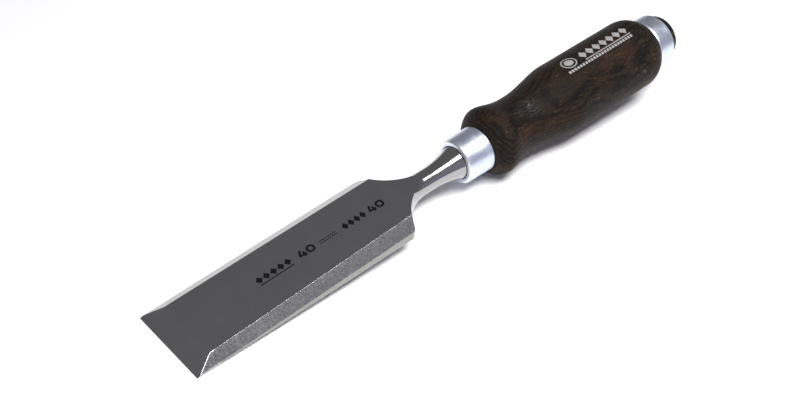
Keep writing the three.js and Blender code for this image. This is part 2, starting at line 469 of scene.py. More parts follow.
@dataclass(frozen=True)
class GroundSteel:
    """Steel finished by grinding or polishing, with lines, clouding and bright worn edges."""

    name: str
    tint: Colour
    roughness: float
    roughness_spread: float
    stretch: tuple[float, float, float]
    fine: float
    depth_mm: float
    cloud_size: float
    cloud_contrast: float
    tint_spread: float
    edge_amount: float
    sparkle: float = 0.0
    sparkle_tint: Colour = (0.86, 0.87, 0.9)
    edge_tint: Colour = (0.93, 0.93, 0.95)

    def make(self, effects: Effects) -> bpy.types.Material:
        """Builds the material.

        Args:
            effects: The shared node groups.

        Returns:
            The finished material.
        """
        dresser = Dresser(self.name, effects)
        sheet = dresser.sheet
        lines = sheet.use(effects.grinding, Place=dresser.place, Stretch=self.stretch, Fine=self.fine)
        cloud = sheet.use(effects.mottle, Place=dresser.place, Size=self.cloud_size,
                          Contrast=self.cloud_contrast)
        marks = sheet.use(effects.handling, Place=dresser.place, Amount=0.6)
        wear = sheet.use(effects.edge_wear, Place=dresser.place, Edge=dresser.edge(),
                         Amount=self.edge_amount)
        low = tuple(channel * (1.0 - self.tint_spread) for channel in self.tint)
        high = tuple(min(1.0, channel * (1.0 + self.tint_spread)) for channel in self.tint)
        colour = sheet.tint(cloud.outputs["Cloud"], low, high)
        if self.sparkle > 0.0:
            share = sheet.maths("MULTIPLY", lines.outputs["Streak"], self.sparkle)
            colour = sheet.tint(share, colour, self.sparkle_tint)
        colour = sheet.tint(wear.outputs["Mask"], colour, self.edge_tint)
        uneven = sheet.maths("ADD", cloud.outputs["Cloud"], lines.outputs["Height"])
        swing = sheet.maths("MULTIPLY", sheet.maths("SUBTRACT", uneven, 1.0), self.roughness_spread)
        rough = sheet.plus(sheet.maths("ADD", swing, self.roughness), marks.outputs["Smear"], 0.04)
        rough = sheet.plus(rough, wear.outputs["Mask"], 0.12)
        dresser.set(Base_Color=colour, Metallic=1.0, Roughness=rough)
        dresser.bump(lines.outputs["Height"], self.depth_mm)
        return dresser.material


@dataclass(frozen=True)
class ZincPlate:
    """Bright zinc plating over a pressed steel ring."""

    name: str
    tint: Colour
    shade: Colour
    roughness: float
    edge_tint: Colour = (0.97, 0.97, 0.98)

    def make(self, effects: Effects) -> bpy.types.Material:
        """Builds the material.

        Args:
            effects: The shared node groups.

        Returns:
            The finished material.
        """
        dresser = Dresser(self.name, effects)
        sheet = dresser.sheet
        cloud = sheet.use(effects.mottle, Place=dresser.place, Size=5.0, Contrast=1.6)
        fine = sheet.use(effects.mottle, Place=dresser.place, Size=0.9, Contrast=1.0)
        rings = sheet.use(effects.grinding, Place=dresser.place, Stretch=(1.0, 0.05, 0.05), Fine=2.2)
        marks = sheet.use(effects.handling, Place=dresser.place, Amount=0.7)
        wear = sheet.use(effects.edge_wear, Place=dresser.place, Edge=dresser.edge(), Amount=0.7,
                         Breakup=0.5)
        colour = sheet.tint(cloud.outputs["Cloud"], self.shade, self.tint)
        colour = sheet.tint(wear.outputs["Mask"], colour, self.edge_tint)
        swing = sheet.maths("MULTIPLY", sheet.maths("SUBTRACT", cloud.outputs["Cloud"], 0.5), 0.16)
        rough = sheet.plus(sheet.maths("ADD", swing, self.roughness), marks.outputs["Smear"], 0.06)
        height = sheet.maths("MULTIPLY", cloud.outputs["Cloud"], 0.75)
        height = sheet.plus(height, rings.outputs["Height"], 0.1)
        height = sheet.plus(height, fine.outputs["Cloud"], 0.06)
        dresser.set(Base_Color=colour, Metallic=1.0, Roughness=rough)
        dresser.bump(height, 0.11)
        return dresser.material


@dataclass(frozen=True)
class PaintedHighlight:
    """A pale patch of painted highlight on the turned wood, where the softbox's highlight falls on the
    waist.
    """

    along: float
    turn: float
    reach: float
    amount: float
    surface_radius: float = 14.6

    def centre(self) -> tuple[float, float, float]:
        """Its middle, in millimetres in the tool's own frame."""
        turn = math.radians(self.turn)
        return (self.along, self.surface_radius * math.sin(turn),
                AXIS_HEIGHT + self.surface_radius * math.cos(turn))


@dataclass(frozen=True)
class StainedWood:
    """Dark stained, open-grained hardwood under a thin satin lacquer."""

    name: str
    ground: Colour
    band: Colour
    red: Colour
    pore: Colour
    roughness: float
    # pale patches that stand in for the softbox's highlight on the waist: painted highlight
    painted_highlights: tuple[PaintedHighlight, ...] = ()
    highlight_tint: Colour = (0.2, 0.2, 0.2)
    fleck: Colour = (0.17, 0.08, 0.035)
    worn_edge: Colour = (0.11, 0.09, 0.075)
    dust: Colour = (0.2, 0.19, 0.18)
    heart: Point = (11.0, -19.0)
    ring_count: float = 3.3

    def _grain_place(self, dresser: Dresser) -> bpy.types.NodeSocket:
        """Coordinates bent by the slow wander of the grain.

        Args:
            dresser: The material being built.

        Returns:
            Coordinates in millimetres.
        """
        sheet = dresser.sheet
        slow = sheet.place("TexNoise")
        sheet.feed(slow.inputs["Vector"], sheet.vector("MULTIPLY", dresser.place, (0.018, 0.05, 0.05)))
        sheet.feed(slow.inputs["Scale"], 1.0)
        sheet.feed(slow.inputs["Detail"], 2.0)
        swing = sheet.vector("SUBTRACT", slow.outputs["Color"], (0.5, 0.5, 0.5))
        wander = sheet.vector("MULTIPLY", swing, (0.0, 14.0, 14.0))
        return sheet.vector("ADD", dresser.place, wander)

    def make(self, effects: Effects) -> bpy.types.Material:
        """Builds the material.

        Args:
            effects: The shared node groups.

        Returns:
            The finished material.
        """
        dresser = Dresser(self.name, effects)
        sheet = dresser.sheet
        grain = self._grain_place(dresser)
        split = sheet.place("SeparateXYZ")
        sheet.feed(split.inputs[0], grain)
        across = sheet.maths("SUBTRACT", split.outputs[1], self.heart[0])
        up = sheet.maths("SUBTRACT", split.outputs[2], self.heart[1])
        radius = sheet.maths("SQRT", sheet.maths("ADD", sheet.maths("MULTIPLY", across, across),
                                                 sheet.maths("MULTIPLY", up, up)))
        ring = sheet.maths("SINE", sheet.maths("MULTIPLY", radius, self.ring_count))
        fibre = sheet.stretched(grain, (0.09, 2.4, 2.4), 5.0, 0.65)
        ring_soft = sheet.plus(fibre, ring, 0.22)
        bands = sheet.span(ring_soft, 0.34, 0.78)
        patches = sheet.use(effects.mottle, Place=sheet.vector("MULTIPLY", grain, (0.35, 1.0, 1.0)),
                            Size=11.0, Contrast=2.6)
        pores = sheet.stretched(grain, (0.4, 4.4, 4.4), 3.0, 0.6)
        open_pores = sheet.maths("MULTIPLY", sheet.span(pores, 0.56, 0.66),
                                 sheet.span(ring_soft, 0.3, 0.6))
        streaks = sheet.stretched(grain, (0.15, 2.1, 2.1), 5.0, 0.72, 0.5)
        streak_mask = sheet.maths("MULTIPLY", sheet.span(streaks, 0.52, 0.64),
                                  sheet.span(pores, 0.42, 0.58))
        flecks = sheet.stretched(grain, (0.24, 1.7, 1.7), 4.0, 0.7, 1.0)
        fleck_mask = sheet.maths("MULTIPLY", sheet.span(flecks, 0.58, 0.66),
                                 sheet.span(patches.outputs["Cloud"], 0.4, 0.75))
        colour = sheet.tint(bands, self.ground, self.band)
        redness = sheet.maths("MULTIPLY", sheet.span(patches.outputs["Cloud"], 0.5, 0.95), 0.7)
        colour = sheet.tint(redness, colour, self.red)
        colour = sheet.tint(sheet.maths("MULTIPLY", open_pores, 0.45), colour, self.pore)
        colour = sheet.tint(sheet.maths("MULTIPLY", streak_mask, 0.62), colour, self.pore)
        colour = sheet.tint(sheet.maths("MULTIPLY", fleck_mask, 0.8), colour, self.fleck)
        worn = sheet.use(effects.edge_wear, Place=dresser.place, Edge=dresser.edge(), Amount=0.35)
        colour = sheet.tint(worn.outputs["Mask"], colour, self.worn_edge)
        marks = sheet.use(effects.handling, Place=dresser.place, Amount=0.8)
        colour = sheet.tint(sheet.maths("MULTIPLY", marks.outputs["Specks"], 0.25), colour, self.dust)
        # painted highlight: pale patches where the softbox's highlight falls
        colour = self._paint_highlights(dresser, colour)
        swing = sheet.maths("MULTIPLY", sheet.maths("SUBTRACT", fibre, 0.5), 0.3)
        rough = sheet.plus(sheet.maths("ADD", swing, self.roughness), open_pores, 0.22)
        rough = sheet.plus(rough, marks.outputs["Smear"], -0.06)
        height = sheet.maths("SUBTRACT", sheet.maths("MULTIPLY", fibre, 0.5),
                             sheet.maths("MULTIPLY", open_pores, 0.35))
        height = sheet.maths("SUBTRACT", height, sheet.maths("MULTIPLY", streak_mask, 0.3))
        dresser.set(Base_Color=colour, Roughness=rough, Specular_IOR_Level=0.07)
        dresser.bump(height, 0.34)
        return dresser.material

    def _paint_highlights(self, dresser: Dresser, colour: object) -> object:
        """Adds the pale patches of painted highlight.

        Args:
            dresser: The material being built.
            colour: The wood's colour so far.

        Returns:
            The colour with the painted highlights on it.
        """
        sheet = dresser.sheet
        for highlight in self.painted_highlights:
            away = sheet.place("VectorMath", operation="LENGTH")
            sheet.feed(away.inputs[0], sheet.vector("SUBTRACT", dresser.place, highlight.centre()))
            near = sheet.span(away.outputs["Value"], highlight.reach, 0.0)
            broken = sheet.stretched(dresser.place, (0.5, 1.4, 1.4), 5.0, 0.75)
            patchy = sheet.maths("MULTIPLY", near, sheet.span(broken, 0.5, 0.68))
            share = sheet.maths("MULTIPLY", patchy, highlight.amount)
            colour = sheet.tint(share, colour, self.highlight_tint)
        return colour


@dataclass(frozen=True)
class Ink:
    """Thin print or etching that lies on a surface."""

    name: str
    colour: Colour
    metallic: float
    roughness: float
    wear: float
    gloss: float = 0.5

    def make(self, effects: Effects) -> bpy.types.Material:
        """Builds the material.

        Args:
            effects: The shared node groups.

        Returns:
            The finished material.
        """
        dresser = Dresser(self.name, effects)
        sheet = dresser.sheet
        fine = sheet.use(effects.mottle, Place=dresser.place, Size=0.6, Contrast=2.0)
        faded = tuple(channel * (1.0 - self.wear) for channel in self.colour)
        colour = sheet.tint(fine.outputs["Cloud"], faded, self.colour)
        swing = sheet.maths("MULTIPLY", fine.outputs["Cloud"], 0.2)
        rough = sheet.maths("ADD", swing, self.roughness - 0.1)
        dresser.set(Base_Color=colour, Metallic=self.metallic, Roughness=rough,
                    Specular_IOR_Level=self.gloss)
        dresser.bump(fine.outputs["Cloud"], 0.01)
        return dresser.material


@dataclass(frozen=True)
class PaleFloor:
    """Plain white studio floor."""

    name: str = "pale_floor"
    tint: Colour = (0.95, 0.95, 0.95)
    light_tint: Colour = (0.97, 0.97, 0.97)

    def make(self, effects: Effects) -> bpy.types.Material:
        """Builds the material.

        Args:
            effects: The shared node groups.

        Returns:
            The finished material.
        """
        dresser = Dresser(self.name, effects)
        cloud = dresser.sheet.use(effects.mottle, Place=dresser.place, Size=60.0, Contrast=1.0)
        colour = dresser.sheet.tint(cloud.outputs["Cloud"], self.tint, self.light_tint)
        dresser.set(Base_Color=colour, Roughness=0.9, Specular_IOR_Level=0.1)
        return dresser.material


# ---------------------------------------------------------------- meshes

WELD_MM = 2e-4  # points closer than this become one


@dataclass
class MeshPlan:
    """Loops of points in millimetres that are joined one to the next into a closed skin."""

    loops: list[list[Vector]]
    edge: list[list[float]]
    zone: Callable[[int, int], int]
    ring: bool = False

    def make(self, name: str) -> bpy.types.Mesh:
        """Builds the mesh, in metres.

        Args:
            name: The mesh's name.

        Returns:
            The mesh, smooth shaded, with an edge value at each vertex.
        """
        work = bmesh.new()
        layer = work.verts.layers.float.new("edge")
        rows = []
        for loop, values in zip(self.loops, self.edge):
            row = []
            for point, value in zip(loop, values):
                vertex = work.verts.new(point * MM)
                vertex[layer] = value
                row.append(vertex)
            rows.append(row)
        pairs = list(zip(range(len(rows)), range(1, len(rows))))
        if self.ring:
            pairs.append((len(rows) - 1, 0))
        for first, second in pairs:
            self._skin(work, rows[first], rows[second], first)
        if not self.ring:
            for row, station in ((rows[0], 0), (rows[-1], len(rows) - 1)):
                face = work.faces.new(row)
                face.material_index = self.zone(station, 0)
        bmesh.ops.remove_doubles(work, verts=work.verts, dist=WELD_MM * MM)
        bmesh.ops.dissolve_degenerate(work, edges=work.edges, dist=WELD_MM * MM / 2.0)
        bmesh.ops.recalc_face_normals(work, faces=work.faces)
        for face in work.faces:
            face.smooth = True
        mesh = bpy.data.meshes.new(name)
        work.to_mesh(mesh)
        work.free()
        return mesh

    def _skin(self, work: bmesh.types.BMesh, low: list, high: list, station: int) -> None:
        """Joins two neighbouring loops with faces.

        Args:
            work: The mesh being built.
            low: Vertices of the first loop.
            high: Vertices of the second loop.
            station: Number of the first loop.
        """
        count = len(low)
        for place in range(count):
            after = (place + 1) % count
            face = work.faces.new((low[place], low[after], high[after], high[place]))
            face.material_index = self.zone(station, place)


def cubic(start: Point, one: Point, two: Point, end: Point, count: int) -> list[Point]:
    """Points of a cubic curve, without its first one.

    Args:
        start: First end.
        one: First handle.
        two: Second handle.
        end: Second end.
        count: How many points.

    Returns:
        The points.
    """
    points = []
    for step in range(1, count + 1):
        t = step / count
        s = 1.0 - t
        weights = (s * s * s, 3 * s * s * t, 3 * s * t * t, t * t * t)
        handles = (start, one, two, end)
        points.append(tuple(sum(w * p[k] for w, p in zip(weights, handles)) for k in (0, 1)))
    return points


def arc(centre: Point, radius: float, start: float, end: float, count: int) -> list[Point]:
    """Points of an arc, both ends included.

    Args:
        centre: Its centre.
        radius: Its radius.
        start: First angle in degrees.
        end: Last angle in degrees.
        count: Number of steps.

    Returns:
        The points.
    """
    angles = (math.radians(start + (end - start) * step / count) for step in range(count + 1))
    return [(centre[0] + radius * math.cos(a), centre[1] + radius * math.sin(a)) for a in angles]


def straight(start: Point, end: Point, count: int) -> list[Point]:
    """Evenly spaced points on a line, without its first one.

    Args:
        start: First end.
        end: Second end.
        count: How many points.

    Returns:
        The points.
    """
    return [(start[0] + (end[0] - start[0]) * k / count, start[1] + (end[1] - start[1]) * k / count)
            for k in range(1, count + 1)]


def graded(points: Sequence[Point], value: float) -> list[Graded]:
    """Points that all have one edge value."""
    return [(point, value) for point in points]


def bisect(low: float, high: float, before: Callable[[float], bool]) -> float:
    """Finds where a test changes from true to false.

    Args:
        low: A place where it is true.
        high: A place where it is false.
        before: The test.

    Returns:
        The last place found where it is true.
    """
    for _ in range(BISECTIONS):
        middle = (low + high) / 2.0
        low, high = (middle, high) if before(middle) else (low, middle)
    return low


@dataclass
class Turning:
    """Pieces turned about the tool's axis."""

    axis_height: float = AXIS_HEIGHT
    segments: int = 224

    def loop(self, x: float, radius: float) -> list[Vector]:
        """One circle about the axis.

        Args:
            x: Place along the tool.
            radius: Its radius.

        Returns:
            Its points.
        """
        turn = 2.0 * math.pi / self.segments
        return [Vector((x, radius * math.sin(k * turn), self.axis_height + radius * math.cos(k * turn)))
                for k in range(self.segments)]

    def square(self, x: float, half: float) -> list[Vector]:
        """One square about the axis with as many points as a circle.

        Args:
            x: Place along the tool.
            half: Half of its side.

        Returns:
            Its points.
        """
        return self.squared(self.loop(x, 1.0), x, half)

    def squared(self, loop: Sequence[Vector], x: float, half: float) -> list[Vector]:
        """A loop moved in or out to a square about the axis.

        Args:
            loop: The loop.
            x: The square's place along the tool.
            half: Half of its side.

        Returns:
            Its points.
        """
        points = []
        for point in loop:
            y, z = point.y, point.z - self.axis_height
            grow = half / max(abs(y), abs(z))
            points.append(Vector((x, y * grow, self.axis_height + z * grow)))
        return points

    def ring(self, name: str, rows: Sequence[Graded]) -> bpy.types.Mesh:
        """Builds a ring about the axis.

        Args:
            name: The mesh's name.
            rows: The closed outline of its wall, as place along the tool and radius.

        Returns:
            The mesh.
        """
        loops = [self.loop(x, radius) for (x, radius), _ in rows]
        edges = [[value] * self.segments for _, value in rows]
        return MeshPlan(loops, edges, lambda station, place: 0, ring=True).make(name)


@dataclass
class Lay:
    """How the tool lies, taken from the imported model."""

    tilt: float = 0.0
    edge_x: float = 0.0

    def __post_init__(self) -> None:
        """Reads the direction of the flat back and the place of the cutting edge."""
        axis = frame["record"]["mounts"][0]["axis"]
        self.tilt = math.atan2(axis[0], -axis[2])
        self.edge_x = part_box("blade")[0].x

    def matrix(self) -> Matrix:
        """From the tool's own frame to the row's frame."""
        return Matrix.Translation((self.edge_x, 0.0, 0.0)) @ Matrix.Rotation(-self.tilt, 4, "Y")

    def lay(self, name: str, mesh: bpy.types.Mesh, finishes: Sequence[bpy.types.Material], slot: Slot,
            node: str | None = None) -> bpy.types.Object:
        """Turns a mesh into a piece that lies with the tool.

        Args:
            name: The piece's name.
            mesh: Its mesh, in the tool's own frame.
            finishes: Its materials, in slot order.
            slot: The record's slot that it belongs to; not used.
            node: The CAD node that it stands for.

        Returns:
            The piece.
        """
        mesh.transform(self.matrix())
        piece = bpy.data.objects.new(name, mesh)
        bpy.context.scene.collection.objects.link(piece)
        for finish in finishes:
            mesh.materials.append(finish)
        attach(piece, Body.ROOT.value)
        if node is not None:
            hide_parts(node)
        LOG.info("%s: %d faces", name, len(mesh.polygons))
        return piece


def even_shading(piece: bpy.types.Object) -> None:
    """Keeps flat faces flat beside narrow rounded edges.

    Args:
        piece: The piece to shade.
    """
    weighted = piece.modifiers.new("even_shading", "WEIGHTED_NORMAL")
    weighted.mode = "FACE_AREA"
    weighted.weight = 80


# ---------------------------------------------------------------- blade


@dataclass
class Run:
    """One stretch of the blade's cross-section."""

    zone: Zone
    start: Point
    end: Point
    count: int
    bulge: Callable[[float], Point] | None = None

    def at(self, share: float) -> Point:
        """The point at a share of the way along.

        Args:
            share: 0 at its start, 1 at its end.

        Returns:
            The point, as y and z.
        """
        if self.bulge is not None:
            return self.bulge(share)
        return (self.start[0] + (self.end[0] - self.start[0]) * share,
                self.start[1] + (self.end[1] - self.start[1]) * share)

    def length(self) -> float:
        """Its length."""
        points = [self.at(step / 8) for step in range(9)]
        return sum(math.dist(a, b) for a, b in zip(points, points[1:]))


@dataclass
class Blade:
    """The forging: bevel-edge blade, shoulders, neck, bolster and tang."""

    turning: Turning
    half_width: float = 20.0
    top_height: float = 3.85
    top_rise: float = 0.0392
    land_height: float = 0.6
    land_rise: float = 0.0317
    side_bevel: float = 36.5
    end_bevel: float = 23.7
    top_end: float = 134.5
    top_run_out: float = 4.0
    back_end: float = 140.0
    back_run_out: float = 20.0
    neck_radius: float = 5.4
    shoulder_radius: float = 22.0
    shoulder_corner: float = 1.5
    neck_start: float = 137.5
    neck_end: float = 143.0
    flare_radius: float = 47.0
    bolster_radius: float = 8.15
    bolster_rear: float = 160.5
    tang_front: float = 159.5
    tang_root: float = 7.2
    tang_tip: float = 4.0
    tang_length: float = 76.0
    tang_steps: int = 10
    tang_step: float = 7.5
    edge_round: float = 0.09
    full_round_end: float = 12.0
    rear_round_share: float = 0.22
    wear_fade: float = 0.22
    tip_wear_reach: float = 0.5
    tip_wear_fade: float = 0.2
    line_wear: float = 0.25
    line_wear_reach: float = 0.3
    line_wear_fade: float = 0.08
    line_ease: float = 0.05
    land_finish_end: float = 115.0
    top_finish_past: float = 3.0

    def side_slope(self) -> float:
        """Fall of the side bevels."""
        return math.tan(math.radians(self.side_bevel))

    def end_slope(self) -> float:
        """Rise of the end bevel."""
        return math.tan(math.radians(self.end_bevel))

    def end_line(self) -> float:
        """Where the end bevel meets the top face."""
        return self.top_height / (self.end_slope() - self.top_rise)

    def radius(self, x: float) -> float:
        """Radius of the turned forging.

        Args:
            x: Place along the tool.

        Returns:
            The radius.
        """
        centre = self.neck_radius + self.shoulder_radius
        if x < self.neck_start:
            reach = self.shoulder_radius ** 2 - (x - self.neck_start) ** 2
            hollow = centre - math.sqrt(reach) if reach > 0.0 else centre
            return min(centre - self.shoulder_corner, hollow)
        if x <= self.neck_end:
            return self.neck_radius
        flare = math.sqrt(self.flare_radius ** 2 - (x - self.neck_end) ** 2)
        return min(self.bolster_radius, self.neck_radius + self.flare_radius - flare)

    def plan_width(self, x: float) -> float:
        """Half width of the blade seen from above, with its rounded rear corners.

        Args:
            x: Place along the tool.

        Returns:
            The half width.
        """
        rise = self.neck_radius + self.shoulder_radius - self.half_width
        corner = self.neck_start - math.sqrt(self.shoulder_radius ** 2 - rise ** 2)
        drop = rise + self.shoulder_corner
        inner = self.neck_start - math.sqrt(self.shoulder_radius ** 2 - drop ** 2)
        start = corner - self.shoulder_corner
        if x <= start:
            return self.half_width
        if x >= inner:
            return self.half_width - self.shoulder_corner

        def before(t: float) -> bool:
            """Whether a share of the corner's curve lies in front of x."""
            return (1 - t) ** 2 * start + 2 * t * (1 - t) * corner + t * t * inner < x

        return self.half_width - bisect(0.0, 1.0, before) ** 2 * self.shoulder_corner

    def top(self, x: float) -> float:
        """Height of the upper faces in the middle of the blade.

        Args:
            x: Place along the tool.

        Returns:
            The height above the flat back.
        """
        bevel = self.end_slope() * x
        face = self.top_height + self.top_rise * min(x, self.top_end)
        beyond = x - self.top_end
        if beyond >= self.top_run_out:
            face = math.inf
        elif beyond > 0.0:
            face += self.top_run_out - math.sqrt(self.top_run_out ** 2 - beyond ** 2)
        ease = self.line_ease
        gap = max(ease - abs(bevel - face), 0.0) / ease
        return min(bevel, face, self.turning.axis_height + self.radius(x)) - gap * gap * ease / 4.0

    def bottom(self, x: float) -> float:
        """Height of the underside in the middle of the blade.

        Args:
            x: Place along the tool.

        Returns:
            The height above the flat back.
        """
        ground = 0.0
        beyond = x - self.back_end
        if beyond >= self.back_run_out:
            ground = -self.back_run_out
        elif beyond > 0.0:
            ground = math.sqrt(self.back_run_out ** 2 - beyond ** 2) - self.back_run_out
        return max(ground, self.turning.axis_height - self.radius(x))

    def wall(self, x: float, z: float) -> float:
        """How far the side of the blade stands out.

        Args:
            x: Place along the tool.
            z: Height above the flat back.

        Returns:
            The distance from the middle plane.
        """
        reach = self.radius(x) ** 2 - (z - self.turning.axis_height) ** 2
        return min(self.plan_width(x), math.sqrt(max(reach, 0.0)))

    def runs(self, x: float) -> list[Run]:
        """The stretches of half a cross-section, from the middle of the top round to the back.

        Args:
            x: Place along the tool.

        Returns:
            Top face, side bevel, wall and back.
        """
        top, bottom = self.top(x), self.bottom(x)
        land = self.land_height + self.land_rise * x
        slope = self.side_slope()
        reach = self.half_width - (top - land) / slope
        upper = (min(reach, self.wall(x, top)), top)
        corner = upper
        if reach < self.wall(x, top):
            low = bisect(bottom, top,
                         lambda z: self.half_width - (z - land) / slope > self.wall(x, z))
            corner = (self.wall(x, low), low)
        lower = (self.wall(x, bottom), bottom)
        axis = self.turning.axis_height
        start = math.atan2(corner[1] - axis, corner[0])
        end = math.atan2(lower[1] - axis, lower[0])

        def bulge(share: float) -> Point:
            """A point of the wall."""
            turn = start + (end - start) * share
            cosine = math.cos(turn)
            width = self.plan_width(x) / cosine if cosine > 1e-6 else math.inf
            out = min(self.radius(x), width)
            return (max(out * cosine, 0.0), axis + out * math.sin(turn))

        return [
            Run(Zone.TOP, (0.0, top), upper, 8),
            Run(Zone.SIDE_BEVEL, upper, corner, 6),
            Run(Zone.LAND, corner, lower, 34, bulge),
            Run(Zone.BACK, lower, (0.0, bottom), 8),
        ]

    def half_section(self, x: float) -> list[tuple[Point, float, Zone]]:
        """Half a cross-section with its edges rounded.

        Args:
            x: Place along the tool.

        Returns:
            Each point with its edge value and the zone of the face after it.
        """
        runs = self.runs(x)
        lengths = [run.length() for run in runs]
        rounds = [0.0]
        size = self.edge_round * (1.0 if x < self.full_round_end else self.rear_round_share)
        for before, after in zip(lengths, lengths[1:]):
            rounds.append(min(size, 0.3 * before, 0.3 * after))
        rounds.append(0.0)
        rows = []
        for number, (run, length) in enumerate(zip(runs, lengths)):
            first, last = rounds[number], rounds[number + 1]
            strong = [min(1.0, amount / self.edge_round) for amount in (first, last)]
            places = self._spread(length, first, last, run.count)
            for place in places:
                share = place / length if length > 1e-9 else 0.0
                near = max(strong[0] * math.exp(-(place - first) / self.wear_fade),
                           strong[1] * math.exp(-(length - last - place) / self.wear_fade))
                rows.append((run.at(share), near, run.zone))
            if number + 1 < len(runs):
                rows.extend(self._rounding(run, runs[number + 1], lengths, number, last))
        return rows

    @staticmethod
    def _spread(length: float, first: float, last: float, count: int) -> list[float]:
        """Distances along a run, closer together near its rounded ends.

        Args:
            length: The run's length.
            first: What the rounding takes at its start.
            last: What the rounding takes at its end.
            count: Steps in its middle part.

        Returns:
            The distances, both ends included.
        """
        start, end = first, max(length - last, first)
        room = end - start
        guards = [min(0.12, 0.05 * room), min(0.5, 0.15 * room)]
        inner = [start + guards[1] + (room - 2 * guards[1]) * k / count for k in range(count + 1)]
        return [start, start + guards[0], *inner, end - guards[0], end]

    def _rounding(self, run: Run, after: Run, lengths: list[float], number: int,
                  size: float) -> list[tuple[Point, float, Zone]]:
        """Points of the rounded edge between two runs, without its ends.

        Args:
            run: The run before the edge.
            after: The run behind it.
            lengths: Lengths of all runs.
            number: The first run's number.
            size: What the rounding takes from each run.

        Returns:
            Rows like those of half_section.
        """
        before_share = 1.0 - size / lengths[number] if lengths[number] > 1e-9 else 1.0
        after_share = size / lengths[number + 1] if lengths[number + 1] > 1e-9 else 0.0
        a, b, c = run.at(before_share), run.end, after.at(after_share)
        zone = after.zone if run.zone is Zone.TOP else run.zone
        rows = []
        for t in (0.25, 0.5, 0.75):
            weights = ((1 - t) ** 2, 2 * t * (1 - t), t * t)
            point = tuple(sum(w * p[k] for w, p in zip(weights, (a, b, c))) for k in (0, 1))
            rows.append((point, min(1.0, size / self.edge_round), zone))
        return rows

    def stations(self) -> list[float]:
        """Places of the cross-sections, closest where the shape changes fastest."""
        line = self.end_line()
        places = {0.0, 0.05, 0.12, 0.25, 0.5, 0.9, 1.2, 1.44, 1.475, 1.52, 1.7}
        places.update(2.2 + 0.6 * k for k in range(12))
        steps = (-0.3, -0.12, -0.05, -0.02, 0.0, 0.02, 0.05, 0.12, 0.3, 0.7)
        places.update(line + step for step in steps)
        places.update(11.0 + 1.5 * k for k in range(68))
        places.update(112.5 + 0.4 * k for k in range(8))
        turns = (math.pi / 2 * (1.0 - step / 96) for step in range(97))
        places.update(self.neck_start - self.shoulder_radius * math.sin(turn) for turn in turns)
        places.update(self.top_end + 0.2 * k for k in range(21))
        places.update(self.neck_start + 0.55 * k for k in range(11))
        places.update(self.neck_end + 0.36 * k for k in range(44))
        places.update((159.0, 159.6, 160.1, 160.3, 160.42, self.bolster_rear))
        return sorted(places)

    def make(self) -> bpy.types.Mesh:
        """Builds the whole forging.

        Returns:
            The mesh.
        """
        loops, edges, zones = [], [], []
        line = self.end_line()
        stations = self.stations()
        for x in stations:
            half = self.half_section(x)
            points = [Vector((x, y, z)) for (y, z), _, _ in half]
            values = [value for _, value, _ in half]
            if x < self.tip_wear_reach:
                tip = math.exp(-x / self.tip_wear_fade)
                values = [max(value, tip) for value in values]
            if abs(x - line) < self.line_wear_reach:
                ridge = self.line_wear * math.exp(-abs(x - line) / self.line_wear_fade)
                values = [max(value, ridge) for value in values]
            left = [Vector((p.x, -p.y, p.z)) for p in reversed(points[1:-1])]
            loops.append(points + left)
            edges.append(values + list(reversed(values[1:-1])))
            kinds = [zone for _, _, zone in half[:-1]]
            zones.append([self._zone(kind, x) for kind in kinds + list(reversed(kinds))])
        self._add_tang(loops, edges, zones)
        plan = MeshPlan(loops, edges, lambda station, place: zones[station][place])
        return plan.make("blade_mesh")

    def _zone(self, kind: Zone, x: float) -> int:
        """The finish of a face, by its stretch of the section and its place along the tool.

        Args:
            kind: The stretch that it lies on.
            x: Where it starts along the tool.

        Returns:
            The number of its material.
        """
        if kind is Zone.TOP and x < self.end_line():
            return Zone.END_BEVEL.value
        neck_from = {Zone.LAND: self.land_finish_end, Zone.BACK: self.back_end,
                     Zone.TOP: self.top_end + self.top_finish_past}
        return (Zone.NECK if x > neck_from.get(kind, math.inf) else kind).value

    def _add_tang(self, loops: list, edges: list, zones: list) -> None:
        """Goes on from the bolster's rear face with the square tapered tang.

        Args:
            loops: Cross-sections so far, added to.
            edges: Their edge values, added to.
            zones: Their face finishes, added to.
        """
        last = loops[-1]
        for number in range(self.tang_steps + 1):
            x = self.bolster_rear + self.tang_step * number
            share = (x - self.tang_front) / self.tang_length
            half = self.tang_root / 2 + (self.tang_tip - self.tang_root) / 2 * share
            loop = self.turning.squared(last, x, half)
            loops.append(loop)
            edges.append([0.0] * len(loop))
            zones.append([Zone.NECK.value] * len(loop))


# ---------------------------------------------------------------- rings and handle


